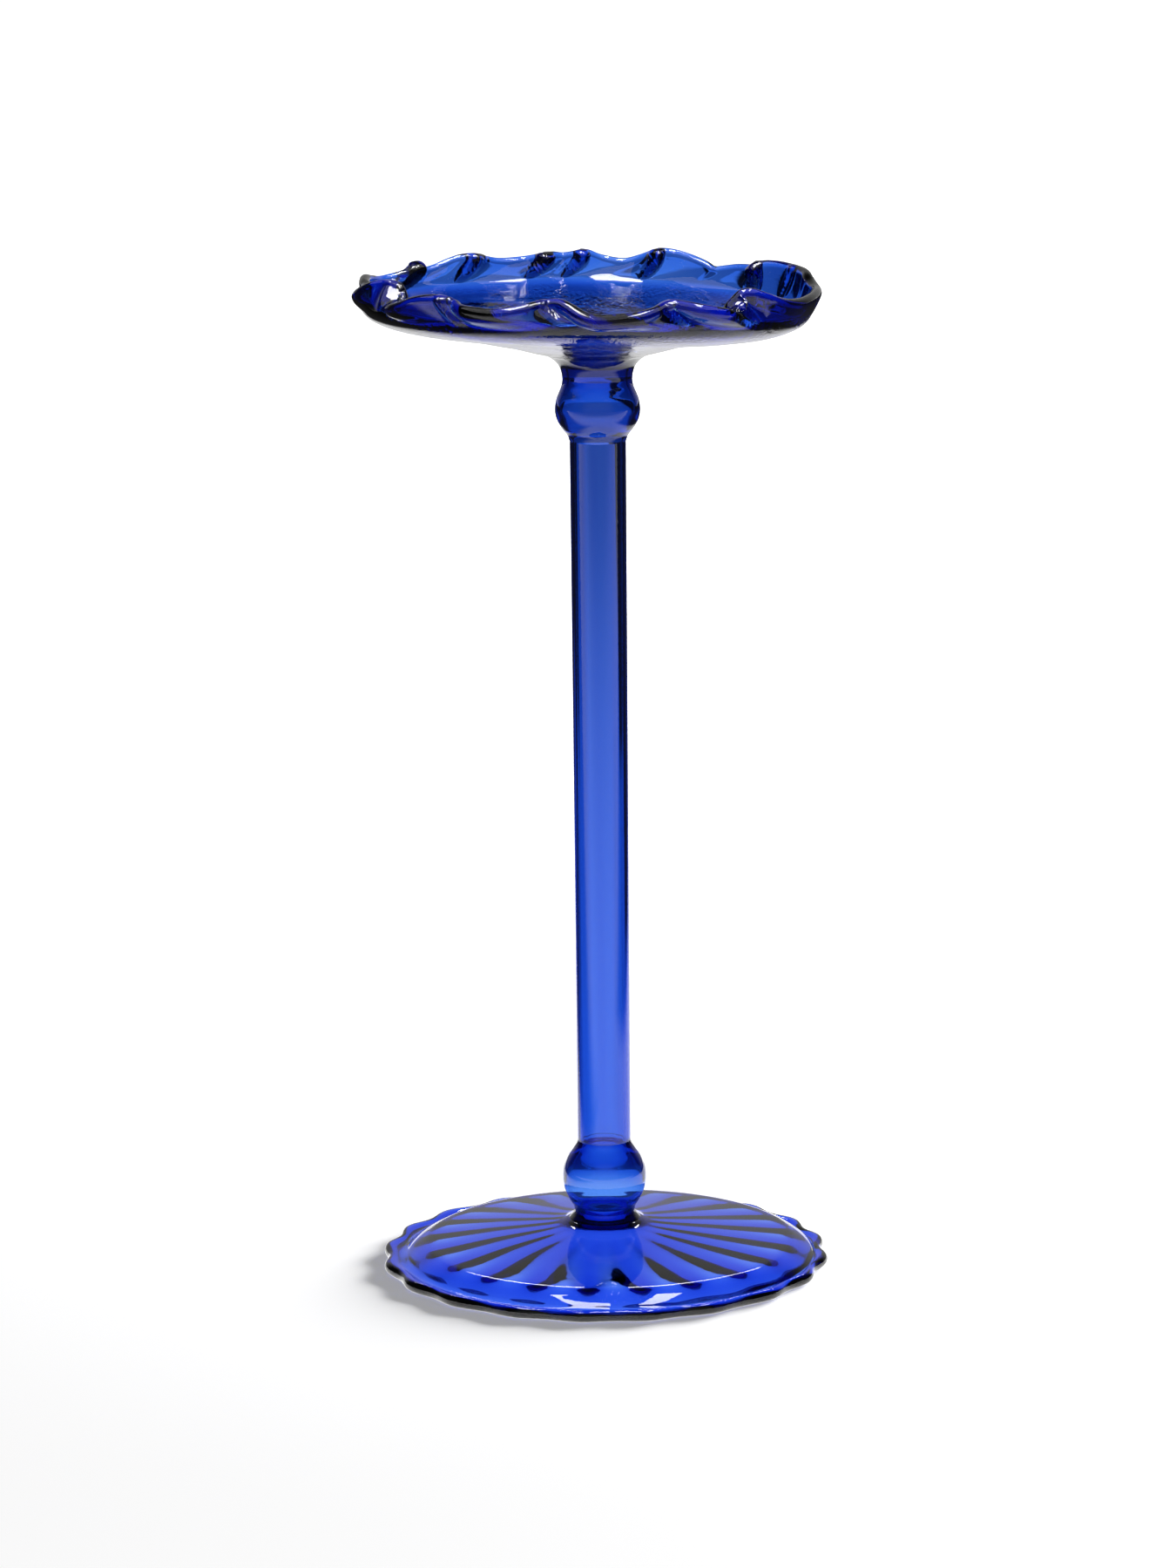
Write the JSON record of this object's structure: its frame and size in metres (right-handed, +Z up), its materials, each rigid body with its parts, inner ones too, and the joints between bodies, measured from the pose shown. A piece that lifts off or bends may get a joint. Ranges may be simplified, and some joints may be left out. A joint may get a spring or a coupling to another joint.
{
  "type": "glass candlestick",
  "caption": "Tall hand-made blue glass candlestick with a ribbed foot, slender hollow stem and ruffled drip dish for a pillar candle.",
  "frame": {"origin": "middle of the foot's resting plane, on the axis of the stem", "axes": "+Z up along the stem; +X to the right and -Y towards the viewer, with the dish slightly off centre towards -X"},
  "size_m": [0.1157, 0.1141, 0.25],
  "materials": {
    "foot_glass": "clear cobalt blue, fire polished",
    "stem_glass": "clear cobalt blue, fire polished",
    "dish_glass": "clear cobalt blue, fire polished, slightly grainy floor"
  },
  "bodies": {
    "root": {"ribbed_foot": "foot_glass", "foot_collar": "stem_glass", "lower_knop": "stem_glass", "stem_tube": "stem_glass", "upper_knop": "stem_glass", "dish_neck": "stem_glass", "drip_dish": "dish_glass"}
  },
  "joints": []
}
